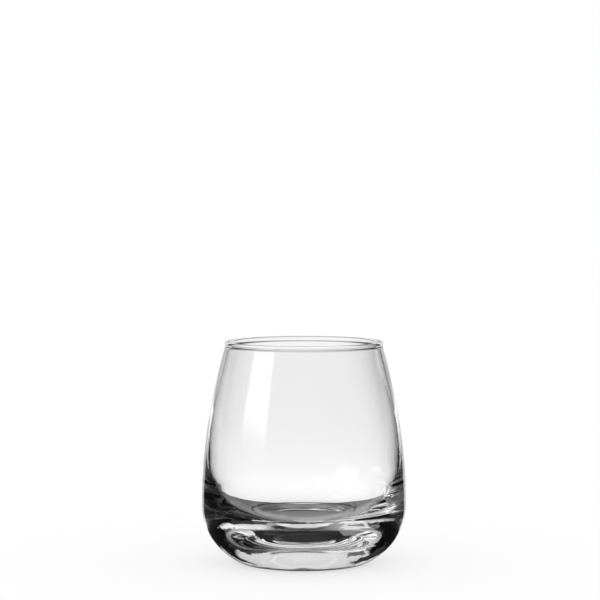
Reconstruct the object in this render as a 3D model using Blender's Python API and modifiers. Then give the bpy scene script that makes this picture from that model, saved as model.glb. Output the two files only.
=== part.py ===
"""Stemless dessert glass: one turned piece of clear glass, in metres, +Z up, standing on z = 0."""

import math

import bpy
from mathutils import Vector
from mathutils.geometry import interpolate_bezier

# Outside
HEIGHT = 0.091
RIM_DIAMETER = 0.0652
RIM_LEAN = math.radians(15.0)  # lean of the wall just below the lip
BELLY_DIAMETER = 0.0844
BELLY_LEVEL = 0.024  # height of the widest part
FOOT_DIAMETER = 0.0524  # outer edge of the ring that the glass stands on
FOOT_RISE = math.radians(20.0)  # slope of the base where it leaves that ring

# Walls and inside
LIP_THICKNESS = 0.00216
LIP_SIDE = 0.00107  # upright outer side below the round top of the lip
NECK_WALL = 0.0019  # wall just below the lip
NECK_DROP = 0.0034  # from the top of the lip to that wall
BOWL_WALL = 0.0031  # outer radius of the belly less the widest inner radius
BOWL_LEVEL = 0.0417  # height where the inside is widest
BOWL_CORNER_WALL = 0.0044  # the same where the rounded floor of the bowl passes into its side
BOWL_CORNER_LEVEL = 0.0299  # height of that place
BOWL_CORNER_LEAN = math.radians(13.4)  # lean of the inside there
BASE_THICKNESS = 0.0132  # from the table to the bottom of the bowl, on the axis
BEARING_RING = 0.0057  # width of the flat ring that the glass stands on
PUNT_DEPTH = 0.0032  # hollow under the base, on the axis
PUNT_POWER = 2.1  # 2 is a round dome, and more is a flatter one with a tighter edge

# Fullness of each curve, as a share of the span that it crosses
SIDE_TOP_PULL = 0.18
SIDE_BELLY_PULL = 0.44
CORNER_BELLY_PULL = 0.69
CORNER_FOOT_PULL = 0.12
INSIDE_TOP_PULL = 0.23
INSIDE_BOWL_PULL = 0.386
BOWL_SIDE_PULL = 0.288
BOWL_CORNER_HIGH_PULL = 0.4
BOWL_CORNER_LOW_PULL = 1.324
BOWL_FLOOR_PULL = 0.19

# Finish
GLASS_COLOUR = (0.97, 0.98, 0.98, 1.0)
GLASS_ROUGHNESS = 0.02
GLASS_IOR = 1.52

# Points along each stretch of the profile, and steps around the axis
LIP_POINTS = 7
SIDE_POINTS = 11
CORNER_POINTS = 12
PUNT_POINTS = 8
PUNT_CROWDING = 1.5  # above 1 draws those points towards the tight edge of the hollow
INSIDE_POINTS = 10
BOWL_SIDE_POINTS = 4
BOWL_FLOOR_POINTS = 14
TURN_STEPS = 72
MERGE_DISTANCE = 0.00001

RIM_RADIUS = RIM_DIAMETER / 2
BELLY_RADIUS = BELLY_DIAMETER / 2
FOOT_RADIUS = FOOT_DIAMETER / 2
LIP_RADIUS = LIP_THICKNESS / 2
LIP_LEVEL = HEIGHT - LIP_RADIUS  # centre of the round lip
WALL_TOP = (RIM_RADIUS, LIP_LEVEL - LIP_SIDE)  # where the outer wall starts to lean
BOWL_RADIUS = BELLY_RADIUS - BOWL_WALL
BOWL_CORNER = (BELLY_RADIUS - BOWL_CORNER_WALL, BOWL_CORNER_LEVEL)


def curve(start, start_handle, end_handle, end, count):
    """Points of one smooth stretch as (radius, height), without its first point."""
    knots = [Vector((radius, 0.0, height)) for radius, height in (start, start_handle, end_handle, end)]
    return [(point.x, point.z) for point in interpolate_bezier(*knots, count)][1:]


def lean_below(point, drop):
    """The point that a leaning wall reaches this far below another."""
    radius, height = point
    return (radius + drop * math.tan(RIM_LEAN), height - drop)


def along_corner(reach):
    """The point this far up the slope of the bowl's corner."""
    radius, height = BOWL_CORNER
    return (radius + reach * math.sin(BOWL_CORNER_LEAN), height + reach * math.cos(BOWL_CORNER_LEAN))


def bowl_inside():
    """Inner surface from the middle of the floor up to the lip's inner side."""
    floor_centre = (0.0, BASE_THICKNESS)
    widest = (BOWL_RADIUS, BOWL_LEVEL)
    depth = BOWL_CORNER_LEVEL - BASE_THICKNESS
    corner_rise = BOWL_LEVEL - BOWL_CORNER_LEVEL
    neck_outside, neck_level = lean_below(WALL_TOP, WALL_TOP[1] - HEIGHT + NECK_DROP)
    neck = (neck_outside - NECK_WALL, neck_level)
    rise = neck_level - BOWL_LEVEL
    floor = curve(
        floor_centre,
        (BOWL_FLOOR_PULL * BOWL_CORNER[0], BASE_THICKNESS),
        along_corner(-BOWL_CORNER_LOW_PULL * depth),
        BOWL_CORNER,
        BOWL_FLOOR_POINTS,
    )
    side = curve(
        BOWL_CORNER,
        along_corner(BOWL_CORNER_HIGH_PULL * corner_rise),
        (BOWL_RADIUS, BOWL_LEVEL - BOWL_SIDE_PULL * corner_rise),
        widest,
        BOWL_SIDE_POINTS,
    )
    wall = curve(
        widest,
        (BOWL_RADIUS, BOWL_LEVEL + INSIDE_BOWL_PULL * rise),
        lean_below(neck, INSIDE_TOP_PULL * rise),
        neck,
        INSIDE_POINTS,
    )
    return [floor_centre, *floor, *side, *wall]


def round_lip():
    """Half circle over the top of the wall, from its inner side to its outer side."""
    centre = RIM_RADIUS - LIP_RADIUS
    angles = [math.pi * (1 - step / (LIP_POINTS - 1)) for step in range(LIP_POINTS)]
    return [(centre + LIP_RADIUS * math.cos(a), LIP_LEVEL + LIP_RADIUS * math.sin(a)) for a in angles]


def outside():
    """Outer surface from just below the lip, over the belly and down to the bearing ring."""
    belly = (BELLY_RADIUS, BELLY_LEVEL)
    foot = (FOOT_RADIUS, 0.0)
    drop = WALL_TOP[1] - BELLY_LEVEL
    foot_pull = CORNER_FOOT_PULL * (BELLY_RADIUS - FOOT_RADIUS)
    side = curve(
        WALL_TOP,
        lean_below(WALL_TOP, SIDE_TOP_PULL * drop),
        (BELLY_RADIUS, BELLY_LEVEL + SIDE_BELLY_PULL * drop),
        belly,
        SIDE_POINTS,
    )
    corner = curve(
        belly,
        (BELLY_RADIUS, BELLY_LEVEL * (1 - CORNER_BELLY_PULL)),
        (FOOT_RADIUS + foot_pull * math.cos(FOOT_RISE), foot_pull * math.sin(FOOT_RISE)),
        foot,
        CORNER_POINTS,
    )
    return [WALL_TOP, *side, *corner]


def underside():
    """Flat bearing ring, then the shallow hollow up to the axis."""
    edge = FOOT_RADIUS - BEARING_RING
    points = []
    for step in range(PUNT_POINTS):
        share = 1 - (step / (PUNT_POINTS - 1)) ** PUNT_CROWDING
        points.append((edge * share, PUNT_DEPTH * (1 - share**PUNT_POWER)))
    return points


def clear_glass():
    material = bpy.data.materials.new("clear_glass")
    material.use_nodes = True
    shader = material.node_tree.nodes["Principled BSDF"]
    shader.inputs["Base Color"].default_value = GLASS_COLOUR
    shader.inputs["Roughness"].default_value = GLASS_ROUGHNESS
    shader.inputs["Metallic"].default_value = 0.0
    shader.inputs["IOR"].default_value = GLASS_IOR
    shader.inputs["Transmission Weight"].default_value = 1.0
    return material


def turned(name, profile, material, collection):
    """A solid of revolution about Z from a profile of (radius, height) points."""
    mesh = bpy.data.meshes.new(name)
    vertices = [(radius, 0.0, height) for radius, height in profile]
    edges = [(index, index + 1) for index in range(len(vertices) - 1)]
    mesh.from_pydata(vertices, edges, [])
    mesh.materials.append(material)
    piece = bpy.data.objects.new(name, mesh)
    collection.objects.link(piece)
    screw = piece.modifiers.new("turn", "SCREW")
    screw.axis = "Z"
    screw.steps = TURN_STEPS
    screw.render_steps = TURN_STEPS
    screw.use_merge_vertices = True
    screw.merge_threshold = MERGE_DISTANCE
    screw.use_smooth_shade = True
    return piece


def main():
    for stale in list(bpy.data.objects):
        bpy.data.objects.remove(stale, do_unlink=True)
    collection = bpy.data.collections.new("dessert_glass")
    bpy.context.scene.collection.children.link(collection)
    profile = [*bowl_inside(), *round_lip(), *outside(), *underside()]
    turned("glass_body", profile, clear_glass(), collection)


main()
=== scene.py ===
"""Stemless dessert glass of clear soda-lime glass, standing on a plain pale floor in a studio."""

import math

import bpy
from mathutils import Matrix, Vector, noise
from mathutils.geometry import interpolate_bezier

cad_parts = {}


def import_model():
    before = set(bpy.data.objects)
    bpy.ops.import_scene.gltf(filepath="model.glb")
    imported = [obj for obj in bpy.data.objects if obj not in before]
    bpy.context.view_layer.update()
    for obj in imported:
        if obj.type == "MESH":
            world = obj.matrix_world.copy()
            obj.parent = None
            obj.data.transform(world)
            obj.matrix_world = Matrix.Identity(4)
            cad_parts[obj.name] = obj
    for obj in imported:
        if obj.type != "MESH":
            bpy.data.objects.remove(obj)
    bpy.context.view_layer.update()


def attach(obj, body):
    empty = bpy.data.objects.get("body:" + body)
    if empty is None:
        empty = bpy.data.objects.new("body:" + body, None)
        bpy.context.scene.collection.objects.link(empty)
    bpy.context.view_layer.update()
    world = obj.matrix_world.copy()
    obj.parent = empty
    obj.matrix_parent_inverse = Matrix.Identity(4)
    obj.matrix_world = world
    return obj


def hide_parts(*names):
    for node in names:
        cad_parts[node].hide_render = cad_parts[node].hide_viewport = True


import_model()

# Outside of the glass, in metres, as in the CAD part
HEIGHT = 0.091
RIM_RADIUS = 0.0326
RIM_LEAN = math.radians(15.0)  # lean of the wall just below the lip
BELLY_RADIUS = 0.0422
BELLY_LEVEL = 0.024  # height of the widest part
FOOT_RADIUS = 0.0262  # outer edge of the ring that the glass stands on
FOOT_RISE = math.radians(20.0)  # slope of the base where it leaves that ring

# Walls and inside
LIP_RADIUS = 0.00108
LIP_SIDE = 0.00107  # upright outer side below the round top of the lip
LIP_FILLET = 0.0003  # length of the fillet where the upright side meets the leaning wall
NECK_WALL = 0.0019  # wall just below the lip
NECK_DROP = 0.0034  # from the top of the lip to that wall
BOWL_RADIUS = 0.0391
BOWL_LEVEL = 0.0417  # height where the inside is widest
BOWL_CORNER = (0.0378, 0.0299)  # where the rounded floor passes into the side
BOWL_CORNER_LEAN = math.radians(13.4)
BASE_THICKNESS = 0.0132  # from the table to the bottom of the bowl, on the axis
BEARING_RING = 0.0057  # width of the flat ring that the glass stands on
PUNT_DEPTH = 0.0032  # hollow under the base, on the axis
PUNT_POWER = 2.1  # 2 is a round dome, and more is a flatter one with a tighter edge

# Fullness of each curve, as a share of the span that it crosses
SIDE_TOP_PULL = 0.18
SIDE_BELLY_PULL = 0.44
CORNER_BELLY_PULL = 0.69
CORNER_FOOT_PULL = 0.12
INSIDE_TOP_PULL = 0.23
INSIDE_BOWL_PULL = 0.386
BOWL_SIDE_PULL = 0.288
BOWL_CORNER_HIGH_PULL = 0.4
BOWL_CORNER_LOW_PULL = 1.324
BOWL_FLOOR_PULL = 0.19
LIP_LOW_PULL = 0.4
LIP_HIGH_PULL = 0.3

# Fineness of the visual mesh
BOWL_POINTS = 50
BOWL_SIDE_POINTS = 12
INSIDE_POINTS = 40
LIP_POINTS = 25
LIP_SIDE_POINTS = 20
FILLET_POINTS = 9
SIDE_POINTS = 46
CORNER_POINTS = 44
PUNT_POINTS = 40
PUNT_CROWDING = 1.5  # above 1 draws those points towards the tight edge of the hollow
TURN_STEPS = 288

LIP_LEVEL = HEIGHT - LIP_RADIUS  # centre of the round lip
WALL_TOP = (RIM_RADIUS, LIP_LEVEL - LIP_SIDE)  # where the outer wall starts to lean
PUNT_RADIUS = FOOT_RADIUS - BEARING_RING

# Slight unevenness of the blown and pressed surfaces: size of the waves, their height, shift of the pattern
WALL_WAVE = (0.022, 0.00003, 3.1)
FLOOR_WAVE = (0.010, 0.00004, 11.7)
PUNT_WAVE = (0.0065, 0.00012, 23.9)
FOOT_WAVE = (0.0025, 0.000012, 7.3)
OUTSIDE_SHIFT = Vector((0.3, 0.0, 0.0))  # keeps the outer wall's waves apart from the inner wall's
# Heights between which the waves set in or fade out, and radii of the hollow between which they fade out
WALL_WAVE_START = (0.0005, 0.006)
FLOOR_WAVE_END = (0.02, 0.04)
FOOT_WAVE_START = (0.0003, 0.0015)
FOOT_WAVE_END = (0.006, 0.012)
PUNT_WAVE_END = (0.92 * PUNT_RADIUS, PUNT_RADIUS)


def smooth(low, high, value):
    """0 below low, 1 above high, and a soft passage between."""
    share = min(max((value - low) / (high - low), 0.0), 1.0)
    return share * share * (3 - 2 * share)


def curve(start, start_handle, end_handle, end, count):
    """Points of one smooth stretch as (radius, height), without its first point."""
    knots = [Vector((radius, 0.0, height)) for radius, height in (start, start_handle, end_handle, end)]
    return [(point.x, point.z) for point in interpolate_bezier(*knots, count)][1:]


def lean_below(point, drop):
    """The point that a leaning wall reaches this far below another."""
    radius, height = point
    return (radius + drop * math.tan(RIM_LEAN), height - drop)


def along_corner(reach):
    """The point this far up the slope of the bowl's corner."""
    radius, height = BOWL_CORNER
    return (radius + reach * math.sin(BOWL_CORNER_LEAN), height + reach * math.cos(BOWL_CORNER_LEAN))


def inside_profile():
    """Inner surface from the middle of the floor up to the lip."""
    floor_centre = (0.0, BASE_THICKNESS)
    widest = (BOWL_RADIUS, BOWL_LEVEL)
    corner_radius, corner_level = BOWL_CORNER
    corner_depth = corner_level - BASE_THICKNESS
    corner_rise = BOWL_LEVEL - corner_level
    neck_outside, neck_level = lean_below(WALL_TOP, WALL_TOP[1] - HEIGHT + NECK_DROP)
    neck = (neck_outside - NECK_WALL, neck_level)
    rise = neck_level - BOWL_LEVEL
    floor = curve(
        floor_centre,
        (BOWL_FLOOR_PULL * corner_radius, BASE_THICKNESS),
        along_corner(-BOWL_CORNER_LOW_PULL * corner_depth),
        BOWL_CORNER,
        BOWL_POINTS,
    )
    bowl = curve(
        BOWL_CORNER,
        along_corner(BOWL_CORNER_HIGH_PULL * corner_rise),
        (BOWL_RADIUS, BOWL_LEVEL - BOWL_SIDE_PULL * corner_rise),
        widest,
        BOWL_SIDE_POINTS,
    )
    wall = curve(
        widest,
        (BOWL_RADIUS, BOWL_LEVEL + INSIDE_BOWL_PULL * rise),
        lean_below(neck, INSIDE_TOP_PULL * rise),
        neck,
        INSIDE_POINTS,
    )
    lip_inside = RIM_RADIUS - 2 * LIP_RADIUS
    gap = LIP_LEVEL - neck_level
    lip = curve(
        neck,
        lean_below(neck, -LIP_LOW_PULL * gap),
        (lip_inside, LIP_LEVEL - LIP_HIGH_PULL * gap),
        (lip_inside, LIP_LEVEL),
        LIP_SIDE_POINTS,
    )
    return [floor_centre, *floor, *bowl, *wall, *lip[:-1]]


def lip_profile():
    """Half circle over the top of the wall, from its inner side to its outer side."""
    centre = RIM_RADIUS - LIP_RADIUS
    angles = [math.pi * (1 - step / (LIP_POINTS - 1)) for step in range(LIP_POINTS)]
    return [(centre + LIP_RADIUS * math.cos(a), LIP_LEVEL + LIP_RADIUS * math.sin(a)) for a in angles]


def lip_fillet():
    """Concave arc from the upright side of the lip to the leaning wall."""
    radius = LIP_FILLET / math.tan(RIM_LEAN / 2)
    points = []
    for step in range(FILLET_POINTS):
        angle = RIM_LEAN * step / (FILLET_POINTS - 1)
        reach = RIM_RADIUS + radius * (1 - math.cos(angle))
        points.append((reach, WALL_TOP[1] + LIP_FILLET - radius * math.sin(angle)))
    return points


def outside_profile():
    """Outer surface from just below the lip, over the belly and down to the bearing ring."""
    belly = (BELLY_RADIUS, BELLY_LEVEL)
    foot = (FOOT_RADIUS, 0.0)
    drop = WALL_TOP[1] - BELLY_LEVEL
    foot_pull = CORNER_FOOT_PULL * (BELLY_RADIUS - FOOT_RADIUS)
    side = curve(
        WALL_TOP,
        lean_below(WALL_TOP, SIDE_TOP_PULL * drop),
        (BELLY_RADIUS, BELLY_LEVEL + SIDE_BELLY_PULL * drop),
        belly,
        SIDE_POINTS,
    )
    corner = curve(
        belly,
        (BELLY_RADIUS, BELLY_LEVEL * (1 - CORNER_BELLY_PULL)),
        (FOOT_RADIUS + foot_pull * math.cos(FOOT_RISE), foot_pull * math.sin(FOOT_RISE)),
        foot,
        CORNER_POINTS,
    )
    return [*lip_fillet(), *side, *corner]


def underside_profile():
    """Flat bearing ring, then the shallow hollow up to the axis."""
    points = []
    for step in range(PUNT_POINTS):
        share = 1 - (step / (PUNT_POINTS - 1)) ** PUNT_CROWDING
        points.append((PUNT_RADIUS * share, PUNT_DEPTH * (1 - share**PUNT_POWER)))
    return points


def glass_profile():
    """The whole outline as (stretch, radius, height), from the bowl's floor round to the hollow's top."""
    stretches = (
        ("inside", inside_profile()),
        ("lip", lip_profile()),
        ("outside", outside_profile()),
        ("underside", underside_profile()),
    )
    return [(stretch, radius, height) for stretch, points in stretches for radius, height in points]


def wave(point, size, height, shift):
    return height * noise.noise(point / size + Vector((shift, shift, shift)))


def unevenness(stretch, point):
    """How far the surface stands proud of the turned shape at this point."""
    if stretch == "underside":
        radius = math.hypot(point.x, point.y)
        return wave(point, *PUNT_WAVE) * (1 - smooth(*PUNT_WAVE_END, radius))
    if stretch == "inside":
        low = 1 - smooth(*FLOOR_WAVE_END, point.z)
        return wave(point, *WALL_WAVE) + low * wave(point, *FLOOR_WAVE)
    if stretch == "outside":
        foot = smooth(*FOOT_WAVE_START, point.z) * (1 - smooth(*FOOT_WAVE_END, point.z))
        high = smooth(*WALL_WAVE_START, point.z)
        return high * wave(point + OUTSIDE_SHIFT, *WALL_WAVE) + foot * wave(point, *FOOT_WAVE)
    return 0.0


def turned_rings(profile):
    """Vertices of the turned glass, and the ring of them that each point of the outline makes."""
    last = len(profile) - 1
    vertices, rings = [], []
    for index, (stretch, radius, height) in enumerate(profile):
        if index in (0, last):
            lift = unevenness(stretch, Vector((0.0, 0.0, height)))
            up = 1.0 if index == 0 else -1.0
            rings.append([len(vertices)])
            vertices.append((0.0, 0.0, height + up * lift))
            continue
        _, radius_before, height_before = profile[index - 1]
        _, radius_after, height_after = profile[index + 1]
        along = Vector((radius_after - radius_before, height_after - height_before)).normalized()
        normal_r, normal_z = -along.y, along.x
        rings.append(list(range(len(vertices), len(vertices) + TURN_STEPS)))
        for step in range(TURN_STEPS):
            angle = 2 * math.pi * step / TURN_STEPS
            across, deep = math.cos(angle), math.sin(angle)
            lift = unevenness(stretch, Vector((radius * across, radius * deep, height)))
            reach = radius + normal_r * lift
            vertices.append((reach * across, reach * deep, height + normal_z * lift))
    return vertices, rings


def ring_faces(rings):
    """Faces between each ring and the following one; a ring of one vertex is an end on the axis."""
    faces = []
    for ring, following in zip(rings, rings[1:]):
        for step in range(TURN_STEPS):
            beside = (step + 1) % TURN_STEPS
            if len(ring) == 1:
                faces.append((ring[0], following[step], following[beside]))
            elif len(following) == 1:
                faces.append((ring[beside], ring[step], following[0]))
            else:
                faces.append((ring[beside], ring[step], following[step], following[beside]))
    return faces


def glass_mesh():
    vertices, rings = turned_rings(glass_profile())
    mesh = bpy.data.meshes.new("clear_glass_body")
    mesh.from_pydata(vertices, [], ring_faces(rings))
    mesh.polygons.foreach_set("use_smooth", [True] * len(mesh.polygons))
    mesh.validate()
    mesh.update()
    return mesh


# Camera, worked out from the photo's outline of the glass
CAMERA_DISTANCE = 0.95
CAMERA_HEIGHT = 0.1554
CAMERA_CLIP = (0.01, 100.0)
IMAGE_SIZE = 600  # pixels
AXIS_COLUMN = 303.9  # where the glass's axis stands in the photo
STAND_ROW = 560.6  # where the middle of its foot stands
PIXELS_PER_RADIAN = 2313.4
SENSOR = 36.0  # width in millimetres


def camera():
    data = bpy.data.cameras.new("camera")
    data.sensor_width = SENSOR
    data.lens = SENSOR * PIXELS_PER_RADIAN / IMAGE_SIZE
    data.clip_start, data.clip_end = CAMERA_CLIP
    obj = bpy.data.objects.new("camera", data)
    bpy.context.scene.collection.objects.link(obj)
    half = IMAGE_SIZE / 2
    pitch = math.atan2(CAMERA_HEIGHT, CAMERA_DISTANCE) - math.atan2(STAND_ROW - half, PIXELS_PER_RADIAN)
    yaw = math.atan2(AXIS_COLUMN - half, PIXELS_PER_RADIAN)
    obj.location = (0.0, -CAMERA_DISTANCE, CAMERA_HEIGHT)
    obj.rotation_euler = (math.pi / 2 - pitch, 0.0, yaw)
    bpy.context.scene.camera = obj


HALF_STEP = 0.5  # depths of light paths are whole counts, so none of them meets a bound between two counts


class Nodes:
    """Small helper that builds shader node chains."""

    def __init__(self, tree):
        self.tree = tree

    def new(self, kind, **settings):
        node = self.tree.nodes.new(kind)
        for name, value in settings.items():
            setattr(node, name, value)
        return node

    def put(self, socket, value):
        if isinstance(value, (int, float)):
            socket.default_value = value
        else:
            self.tree.links.new(value, socket)

    def math(self, operation, *values):
        node = self.new("ShaderNodeMath", operation=operation)
        for socket, value in zip(node.inputs, values):
            self.put(socket, value)
        return node.outputs[0]

    def axes(self, vector):
        """The X, Y and Z outputs of a vector."""
        node = self.new("ShaderNodeSeparateXYZ")
        self.tree.links.new(vector, node.inputs[0])
        return node.outputs

    def ramp(self, value, low, high, start=0.0, end=1.0):
        node = self.new("ShaderNodeMapRange", interpolation_type="SMOOTHSTEP")
        for socket, setting in zip(node.inputs, (value, low, high, start, end)):
            self.put(socket, setting)
        return node.outputs[0]

    def window(self, value, low, high, soft):
        return self.math(
            "MULTIPLY",
            self.ramp(value, low - soft, low + soft),
            self.ramp(value, high - soft, high + soft, 1.0, 0.0),
        )

    def mix(self, share, first, second):
        """first + share * (second - first)"""
        return self.math("MULTIPLY_ADD", share, self.math("SUBTRACT", second, first), first)

    def at_least(self, depth, count):
        """1 where a light path's depth has come to this whole count, else 0."""
        return self.math("GREATER_THAN", depth, count - HALF_STEP)

    def below(self, depth, count):
        """1 where a light path's depth hasn't come to this whole count, else 0."""
        return self.math("LESS_THAN", depth, count - HALF_STEP)


# Optics of the glass
GLASS_IOR = 1.52
# Marks on the glass: how many of them to the metre, and how strong they are
SMUDGE_SCALE = 65.0
SMUDGE_DETAIL = 6.0
SMUDGE_SPAN = (0.5, 0.8)
SMUDGE_ROUGHNESS = 0.03
SPECK_SCALE = 190.0
SPECK_SPAN = (0.02, 0.045)
SPECK_LEVEL = 0.55
RIPPLE_SCALE = 240.0
RIPPLE_STRENGTH = 0.25
RIPPLE_DEPTH = 0.00005
# Worn edge of the foot, which also carries a painted contact shadow: radii and heights between which it
# starts and ends
WORN_AND_SHADED_FOOT_RADII = (0.0260, 0.0263)
WORN_AND_SHADED_FOOT_HEIGHTS = (0.0006, 0.0012)
# Painted shade: the base colour at the foot's edge, made dark like the contact shadow under it
FOOT_CONTACT_SHADE_LEVEL = 0.03
WEAR_ROUGHNESS = 0.25


def glass_material():
    """Clear fire-polished glass with faint smudges, specks of dust, a slight ripple, a worn foot, and painted
    shade that darkens the foot's edge like a contact shadow.
    """
    material = bpy.data.materials.new("clear_glass")
    material.use_nodes = True
    tree = material.node_tree
    n = Nodes(tree)
    place = n.new("ShaderNodeTexCoord").outputs["Object"]
    smudges = n.new("ShaderNodeTexNoise")
    smudges.inputs["Scale"].default_value = SMUDGE_SCALE
    smudges.inputs["Detail"].default_value = SMUDGE_DETAIL
    specks = n.new("ShaderNodeTexVoronoi")
    specks.inputs["Scale"].default_value = SPECK_SCALE
    ripple = n.new("ShaderNodeTexNoise")
    ripple.inputs["Scale"].default_value = RIPPLE_SCALE
    for texture in (smudges, specks, ripple):
        tree.links.new(place, texture.inputs["Vector"])
    axes = n.axes(place)
    squares = [n.math("POWER", axes[axis], 2.0) for axis in "XY"]
    radius = n.math("SQRT", n.math("ADD", *squares))
    low = n.ramp(axes["Z"], *WORN_AND_SHADED_FOOT_HEIGHTS, 1.0, 0.0)
    wear_and_contact_shade = n.math("MULTIPLY", n.ramp(radius, *WORN_AND_SHADED_FOOT_RADII), low)
    level = n.ramp(specks.outputs["Distance"], *SPECK_SPAN, SPECK_LEVEL, 1.0)
    # painted shade: the foot's edge darkened as its contact shadow; the same mask also roughens the worn edge
    # below
    level = n.mix(wear_and_contact_shade, level, FOOT_CONTACT_SHADE_LEVEL)
    colour = n.new("ShaderNodeCombineColor")
    for socket in colour.inputs:
        tree.links.new(level, socket)
    bump = n.new("ShaderNodeBump")
    bump.inputs["Strength"].default_value = RIPPLE_STRENGTH
    bump.inputs["Distance"].default_value = RIPPLE_DEPTH
    tree.links.new(ripple.outputs["Fac"], bump.inputs["Height"])
    rough = n.ramp(smudges.outputs["Fac"], *SMUDGE_SPAN, 0.0, SMUDGE_ROUGHNESS)
    shader = tree.nodes["Principled BSDF"]
    tree.links.new(colour.outputs[0], shader.inputs["Base Color"])
    n.put(shader.inputs["Roughness"], n.mix(wear_and_contact_shade, rough, WEAR_ROUGHNESS))
    tree.links.new(bump.outputs[0], shader.inputs["Normal"])
    shader.inputs["IOR"].default_value = GLASS_IOR
    shader.inputs["Transmission Weight"].default_value = 1.0
    return material


# What reflections in and on the glass see of the studio. Directions are in degrees, with azimuth counted from
# straight behind the glass towards the right. A brightness of 1 is white
WHITE = 1.0
DARK_STUDIO = 0.08
PANELS = (
    # azimuth from, to, softness; elevation from, to, softness; brightness
    (-29, 31, 2, -90, 3, 2, 0.5),
    (-29, 31, 3, 3, 22, 1.5, 0.78),
    (-100, -14, 3, 25, 57, 3, 0.95),
    (-134, -101, 1.5, 8, 62, 7, 2.2),
    (-165, -95, 4, 30, 62, 4, 0.7),
    (-180, 180, 2, 62, 91, 4, 0.35),
    (42, 150, 2, -90, 62, 2, 0.0),
    (-95, -32, 3, -90, 22, 3, 0.0),
)
# Panels hung over those for light that was in the glass once: after one reflection, and after more
ONCE_PANELS = (
    (-40, 40, 2, 3, 55, 3, 0.8),
    (28, 60, 4, -5, 9.5, 1.5, 0.1),
    (-60, -32, 4, -5, 9.5, 1.5, 0.3),
)
MORE_PANELS = (
    (-44, 44, 1.5, 3, 22, 1.5, 0.75),
    (-13.5, 20, 2, 3, 24, 1, 0.05),
    (-25, -9, 1.5, 23, 29, 1, 0.8),
    (9, 25, 1.5, 23, 29, 1, 0.8),
    (36, 60, 1, 16, 30, 1, 0.03),
    (-41, -28.5, 1, 10.5, 23, 1, 0.15),
    (-60, -35, 1, -5, 5.5, 0.7, 0.04),
    (-14, 30, 3, 40, 70, 3, 0.9),
    (-96, -48, 3, 25, 42, 3, 0.5),
    (-140, -110, 4, -3, 17, 2, 0.15),
    (-110, -96, 2, -3, 17, 2, 0.6),
    (-134, -90, 1, 17, 22.5, 0.7, 0.12),
    (-112, -90, 1, -90, 12, 0.7, 0.12),
)
# Panels hung over the first ones for reflected light that was in the glass twice, as it crossed the bowl
DEEP_PANELS = ((-31, 40, 2, 2, 95, 1.5, 0.12),)
# How many surfaces light has passed that was in the glass once, and twice
ONE_WALL = 2
TWO_WALLS = 4
# What light that passes straight through the glass sees above the floor: elevations, and brightness at them
HORIZON_SPAN = (0.0, 8.0)
HORIZON_LEVELS = (1.0, 0.02)


def world():
    made = bpy.data.worlds.new("studio")
    bpy.context.scene.world = made
    made.use_nodes = True
    tree = made.node_tree
    tree.nodes.clear()
    n = Nodes(tree)
    path = n.new("ShaderNodeLightPath").outputs
    axes = n.axes(n.new("ShaderNodeTexCoord").outputs["Generated"])
    azimuth = n.math("DEGREES", n.math("ARCTAN2", axes["X"], axes["Y"]))
    elevation = n.math("DEGREES", n.math("ARCSINE", axes["Z"]))

    def hung(level, panels):
        for az_low, az_high, az_soft, el_low, el_high, el_soft, brightness in panels:
            across = n.window(azimuth, az_low, az_high, az_soft)
            up = n.window(elevation, el_low, el_high, el_soft)
            level = n.mix(n.math("MULTIPLY", across, up), level, brightness)
        return level

    reflected = n.at_least(path["Glossy Depth"], 1)
    again = n.at_least(path["Glossy Depth"], 2)
    one_wall = n.math("COMPARE", path["Transmission Depth"], ONE_WALL, HALF_STEP)
    two_walls = n.at_least(path["Transmission Depth"], TWO_WALLS)
    scattered = n.at_least(path["Diffuse Depth"], 1)
    plain = hung(DARK_STUDIO, PANELS)
    from_base = n.mix(again, hung(plain, ONCE_PANELS), hung(plain, MORE_PANELS))
    level = n.mix(one_wall, plain, from_base)
    level = n.mix(two_walls, level, hung(level, DEEP_PANELS))
    straight = n.ramp(elevation, *HORIZON_SPAN, *HORIZON_LEVELS)
    seen = n.mix(reflected, straight, level)
    seen = n.mix(path["Is Camera Ray"], seen, WHITE)
    seen = n.mix(scattered, seen, WHITE)
    background = n.new("ShaderNodeBackground")
    background.inputs["Color"].default_value = (1.0, 1.0, 1.0, 1.0)
    tree.links.new(seen, background.inputs["Strength"])
    output = n.new("ShaderNodeOutputWorld")
    tree.links.new(background.outputs[0], output.inputs["Surface"])


def show(n, share, first, second):
    """Make this mix of two shaders the surface of the material."""
    mixer = n.new("ShaderNodeMixShader")
    n.put(mixer.inputs[0], share)
    n.tree.links.new(first.outputs[0], mixer.inputs[1])
    n.tree.links.new(second.outputs[0], mixer.inputs[2])
    output = n.new("ShaderNodeOutputMaterial")
    n.tree.links.new(mixer.outputs[0], output.inputs["Surface"])


# The floor: its colour, the share of its light that is its own glow, and the brightness of that glow
FLOOR_COLOUR = (0.95, 0.95, 0.95, 1.0)
FLOOR_GLOW = 0.6
FLOOR_PLAIN = 1.04  # beside the glass
FLOOR_FAR = 1.015  # through the glass, far away
FLOOR_RISE = 0.027  # what it gains at one metre, and twice as much at half the distance
FLOOR_NEAREST = 0.08  # nearer than this it gains no more
FLOOR_DEEP = 0.35  # for light that crossed the bowl and was reflected too
# Shade on the floor close behind the glass, which its lip gathers: where it starts and ends, and what is left
FOOT_BACK = (0.044, 0.056)
FOOT_SPAN = (0.14, 0.3)
FOOT_SHADE = 0.45
# The floor behind and to the right falls off in the shade of the studio's right side: turns in degrees about
# a point to the right of the glass, and the shares of the light that are left at them
FALL_START = 0.05
FALL_SOFT = (0.0, 9.0, 1.0, 0.68)
FALL_DARK = (8.5, 13.5, 1.0, 0.3)
FALL_END = (40.0, 70.0, 1.0, 0.0)


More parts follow.
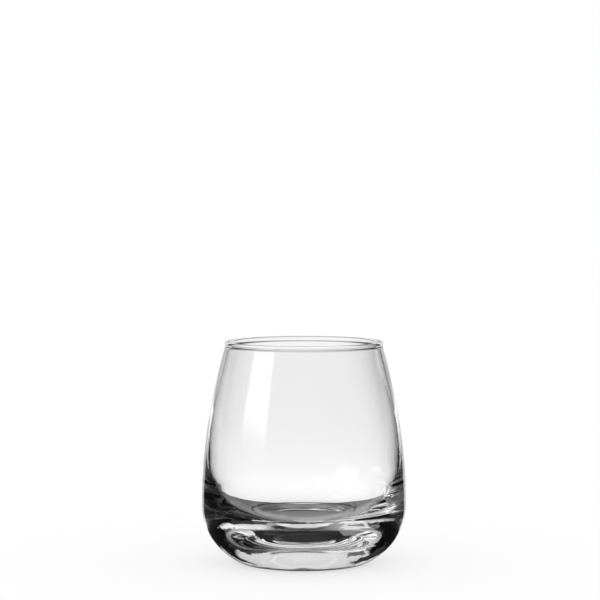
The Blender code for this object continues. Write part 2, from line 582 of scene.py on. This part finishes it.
def floor_material():
    material = bpy.data.materials.new("pale_floor")
    material.use_nodes = True
    tree = material.node_tree
    tree.nodes.clear()
    n = Nodes(tree)
    path = n.new("ShaderNodeLightPath").outputs
    glassy = n.math("MAXIMUM", path["Is Glossy Ray"], path["Is Transmission Ray"])
    seen = n.math("MAXIMUM", path["Is Camera Ray"], glassy)
    single = n.below(path["Transmission Depth"], ONE_WALL + 1)
    double = n.at_least(path["Transmission Depth"], TWO_WALLS)
    unreflected = n.below(path["Glossy Depth"], 1)
    place = n.new("ShaderNodeNewGeometry").outputs["Position"]
    axes = n.axes(place)
    distance = n.new("ShaderNodeVectorMath", operation="LENGTH")
    tree.links.new(place, distance.inputs[0])
    away = distance.outputs["Value"]
    lit = n.math("ADD", FLOOR_FAR, n.math("DIVIDE", FLOOR_RISE, n.math("MAXIMUM", away, FLOOR_NEAREST)))
    aside = n.math("SUBTRACT", axes["X"], FALL_START)
    turn = n.math("DEGREES", n.math("ARCTAN2", aside, axes["Y"]))
    fall = n.math("MULTIPLY", n.ramp(turn, *FALL_SOFT), n.ramp(turn, *FALL_DARK))
    shaded = n.math("MULTIPLY", unreflected, n.ramp(turn, *FALL_END))
    lit = n.mix(shaded, lit, n.math("MULTIPLY", lit, fall))
    near = n.math("MULTIPLY", n.ramp(away, *FOOT_SPAN, 1.0, 0.0), n.ramp(axes["Y"], *FOOT_BACK))
    lit = n.mix(n.math("MULTIPLY", near, n.math("MULTIPLY", single, unreflected)), lit, FOOT_SHADE)
    deep = n.math("MULTIPLY", double, n.math("SUBTRACT", 1.0, unreflected))
    lit = n.mix(deep, lit, FLOOR_DEEP)
    emission = n.new("ShaderNodeEmission")
    n.put(emission.inputs["Strength"], n.mix(path["Is Camera Ray"], lit, FLOOR_PLAIN))
    diffuse = n.new("ShaderNodeBsdfDiffuse")
    diffuse.inputs["Color"].default_value = FLOOR_COLOUR
    show(n, n.math("MULTIPLY", seen, FLOOR_GLOW), diffuse, emission)
    return material


# How the painted shadow under the glass thins out to the front and to both ends
SHADOW_UNDER_FRONT = (-0.085, 0.012, 0.0, 1.0)
SHADOW_UNDER_ENDS = (0.05, 0.085, 1.0, 0.0)


def flag_material(name, brightness, least_depth, reflected, soft=False):
    """A sheet met only by light that met the glass at least this often, with a reflection or without."""
    material = bpy.data.materials.new(name)
    material.use_nodes = True
    tree = material.node_tree
    tree.nodes.clear()
    n = Nodes(tree)
    path = n.new("ShaderNodeLightPath").outputs
    bent = n.at_least(path["Ray Depth"], least_depth)
    side = n.at_least(path["Glossy Depth"], 1) if reflected else n.below(path["Glossy Depth"], 1)
    met = n.math("MULTIPLY", bent, side)
    if soft:
        axes = n.axes(n.new("ShaderNodeNewGeometry").outputs["Position"])
        front = n.ramp(axes["Y"], *SHADOW_UNDER_FRONT)
        ends = n.ramp(n.math("ABSOLUTE", axes["X"]), *SHADOW_UNDER_ENDS)
        met = n.math("MULTIPLY", met, n.math("MULTIPLY", front, ends))
    emission = n.new("ShaderNodeEmission")
    emission.inputs["Strength"].default_value = brightness
    show(n, met, n.new("ShaderNodeBsdfTransparent"), emission)
    return material


# Brightness of the dark flags, which partly paint the glass's shadow, of the painted shadow under the glass,
# and of the cards
FLAG_AND_SHADE_BRIGHTNESS = 0.02
SHADOW_UNDER_BRIGHTNESS = 0.18
WHITE_CARD_BRIGHTNESS = 0.9
GREY_CARD_BRIGHTNESS = 0.25
# Heights at which the sheets of the stage lie, in metres
FLOOR_HEIGHT = -0.0003
FLAG_AND_SHADE_HEIGHT = -0.0002
CARD_HEIGHT = -0.00015
SHADOW_UNDER_HEIGHT = -0.0001
# Outlines of the sheets, in millimetres: to the right and away from the camera
EDGE = 4000
FLOOR = ((-EDGE, -EDGE), (EDGE, -EDGE), (EDGE, EDGE), (-EDGE, EDGE))
# Painted shadow under the glass: a grey sheet, seen only by light that passed through the glass, standing in
# for the glass's shadow on the floor
SHADOW_UNDER_OUTLINE = (
    (-85, -87), (85, -87), (85, 25), (46, 27.5), (26, 26.5), (14, 25),
    (0, 24), (-12, 25.5), (-24, 27.5), (-34, 29), (-46, 31), (-85, 40),
)
# Dark flags on the floor, seen only in reflections in the glass: black studio flags at the sides, and painted
# shade under and in front of the glass that stands in for its shadow
FLAG_AND_SHADE_RIGHT = (
    (0, 35), (14, 35), (30, 41), (58, 40), (640, 1100),
    (2300, EDGE), (EDGE, EDGE), (EDGE, -EDGE), (0, -EDGE),
)
FLAG_AND_SHADE_LEFT = (
    (0, 35), (0, -EDGE), (-EDGE, -EDGE), (-EDGE, EDGE), (-2300, EDGE),
    (-640, 1100), (-65, 50), (-30, 50), (-12, 39),
)
CARD_LEFT = ((-27, -13), (-21.5, -12), (-19.3, -9), (-19.3, -2), (-27, -2))
CARD_RIGHT = ((16, -21), (27, -13), (27, -4), (20, -7), (16, -12))
# The card that stands behind the glass: to the right and up, and how far away it stands
CARD_BACK = ((4, 0), (14, 0), (14, 14), (13, 15.5), (12, 14), (10, 14.5), (7, 13), (4, 9))
CARD_BACK_DISTANCE = 0.045
# White cards round the front of the foot: inner and outer radius in metres, and where they start and end,
# in degrees from the front to the right
FOOT_CARDS = ((0.0288, 0.0315, -29, 30), (0.0323, 0.0345, -12, 30))
CARD_STEPS = 24
CARD_TAPER = 4  # the higher, the later these cards narrow towards their ends
MILLIMETRES = 1000  # in a metre


def sheet(name, corners, material):
    mesh = bpy.data.meshes.new(name)
    mesh.from_pydata(corners, [], [tuple(range(len(corners)))])
    mesh.materials.append(material)
    obj = bpy.data.objects.new(name, mesh)
    bpy.context.scene.collection.objects.link(obj)
    return obj


def lying(outline, height):
    """Corners of a sheet that lies flat, from its outline in millimetres."""
    return [(x / MILLIMETRES, y / MILLIMETRES, height) for x, y in outline]


def standing(outline, distance):
    """Corners of a sheet that faces the camera, from its outline in millimetres."""
    return [(x / MILLIMETRES, distance, z / MILLIMETRES) for x, z in outline]


def crescent(inner, outer, start, end):
    """Corners of a stretch of a flat ring that narrows to both ends, counted from the front to the right."""
    near, far = [], []
    for step in range(CARD_STEPS + 1):
        turn = math.radians(start + (end - start) * step / CARD_STEPS)
        taper = abs(2 * step / CARD_STEPS - 1) ** CARD_TAPER
        reach = inner + taper * (outer - inner)
        near.append((outer * math.sin(turn), -outer * math.cos(turn), CARD_HEIGHT))
        far.append((reach * math.sin(turn), -reach * math.cos(turn), CARD_HEIGHT))
    return near + far[-2:0:-1]


def stage():
    """The floor, and sheets that only light from the glass meets: dark flags that partly paint the glass's
    shadow, a sheet of painted shadow under the glass, and cards.
    """
    sheet("floor", lying(FLOOR, FLOOR_HEIGHT), floor_material())
    # dark flags, partly painted shade of the glass's shadow on the floor
    dark_flag_and_shade = flag_material("painted_shade_dark_flag", FLAG_AND_SHADE_BRIGHTNESS, least_depth=1, reflected=True)
    # painted shadow of the glass on the floor, seen through the glass
    painted_shadow = flag_material("painted_shadow_sheet", SHADOW_UNDER_BRIGHTNESS, least_depth=3, reflected=False, soft=True)
    white = flag_material("white_card", WHITE_CARD_BRIGHTNESS, least_depth=2, reflected=True)
    grey = flag_material("grey_card", GREY_CARD_BRIGHTNESS, least_depth=2, reflected=True)
    pieces = [
        sheet("painted_shadow_under", lying(SHADOW_UNDER_OUTLINE, SHADOW_UNDER_HEIGHT), painted_shadow),
        sheet("flag_and_shade_right", lying(FLAG_AND_SHADE_RIGHT, FLAG_AND_SHADE_HEIGHT), dark_flag_and_shade),
        sheet("flag_and_shade_left", lying(FLAG_AND_SHADE_LEFT, FLAG_AND_SHADE_HEIGHT), dark_flag_and_shade),
        sheet("card_back", standing(CARD_BACK, CARD_BACK_DISTANCE), white),
        sheet("card_left", lying(CARD_LEFT, CARD_HEIGHT), white),
        sheet("card_right", lying(CARD_RIGHT, CARD_HEIGHT), grey),
    ]
    for card in FOOT_CARDS:
        pieces.append(sheet("card_foot", crescent(*card), white))
    for piece in pieces:
        piece.visible_camera = False
        piece.visible_diffuse = False
        piece.visible_shadow = False


glass = bpy.data.objects.new("clear_glass_body", glass_mesh())
glass.data.materials.append(glass_material())
bpy.context.scene.collection.objects.link(glass)
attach(glass, "root")
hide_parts("glass_body")

camera()
world()
stage()

BOUNCES = 32  # light is reflected many times in the heavy base
scene = bpy.context.scene
scene.view_settings.view_transform = "Standard"
scene.cycles.max_bounces = BOUNCES
scene.cycles.glossy_bounces = BOUNCES
scene.cycles.transmission_bounces = BOUNCES
